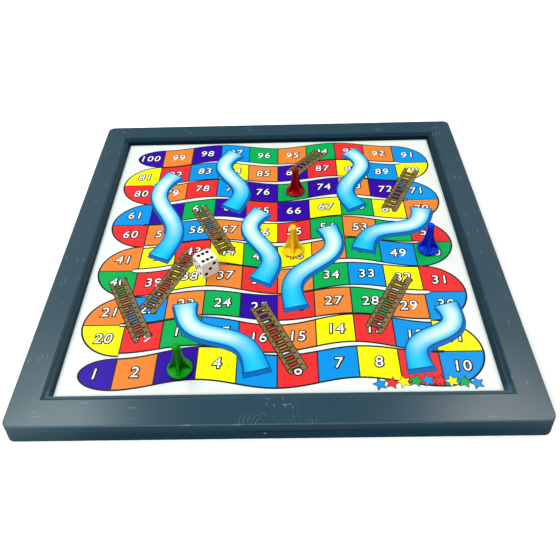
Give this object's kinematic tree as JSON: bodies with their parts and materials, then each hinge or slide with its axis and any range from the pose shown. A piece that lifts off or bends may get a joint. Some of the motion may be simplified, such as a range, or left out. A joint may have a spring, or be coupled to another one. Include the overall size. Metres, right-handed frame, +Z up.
{
  "type": "snakes and ladders board",
  "caption": "Square framed board for a slides and ladders race game, with a moulded stepped frame, a recessed printed track, finned pawns and a die.",
  "frame": {"origin": "middle of the underside of the frame, on the table", "axes": "+Z up, +X to the player's right, +Y away from the player's near side"},
  "size_m": [0.3, 0.3, 0.032],
  "materials": {
    "slate_plastic": "satin moulded plastic with faint flow streaks",
    "hardboard": "pressed fibre, screen-marked underneath",
    "printed_paper": "printed and laminated, satin gloss",
    "zinc_steel": "bright zinc plate",
    "red_plastic": "glossy moulded plastic",
    "yellow_plastic": "glossy moulded plastic",
    "blue_plastic": "glossy moulded plastic",
    "green_plastic": "glossy, slightly translucent moulded plastic",
    "white_plastic": "tumbled and polished",
    "black_paint": "filled in paint"
  },
  "bodies": {
    "board": {"frame": "slate_plastic", "board_panel": "hardboard", "printed_sheet": "printed_paper", "panel_screws": "zinc_steel"},
    "red_pawn": {"red_pawn": "red_plastic"},
    "yellow_pawn": {"yellow_pawn": "yellow_plastic"},
    "blue_pawn": {"blue_pawn": "blue_plastic"},
    "green_pawn": {"green_pawn": "green_plastic"},
    "die": {"die": "white_plastic", "die_pips": "black_paint"}
  },
  "joints": [
    {"name": "red_pawn_lift", "type": "slide", "parent": "board", "child": "red_pawn", "axis": [0, 0, 1], "range_m": [0, 0.06]},
    {"name": "yellow_pawn_lift", "type": "slide", "parent": "board", "child": "yellow_pawn", "axis": [0, 0, 1], "range_m": [0, 0.06]},
    {"name": "blue_pawn_lift", "type": "slide", "parent": "board", "child": "blue_pawn", "axis": [0, 0, 1], "range_m": [0, 0.06]},
    {"name": "green_pawn_lift", "type": "slide", "parent": "board", "child": "green_pawn", "axis": [0, 0, 1], "range_m": [0, 0.06]},
    {"name": "die_lift", "type": "slide", "parent": "board", "child": "die", "axis": [0, 0, 1], "range_m": [0, 0.06]}
  ]
}
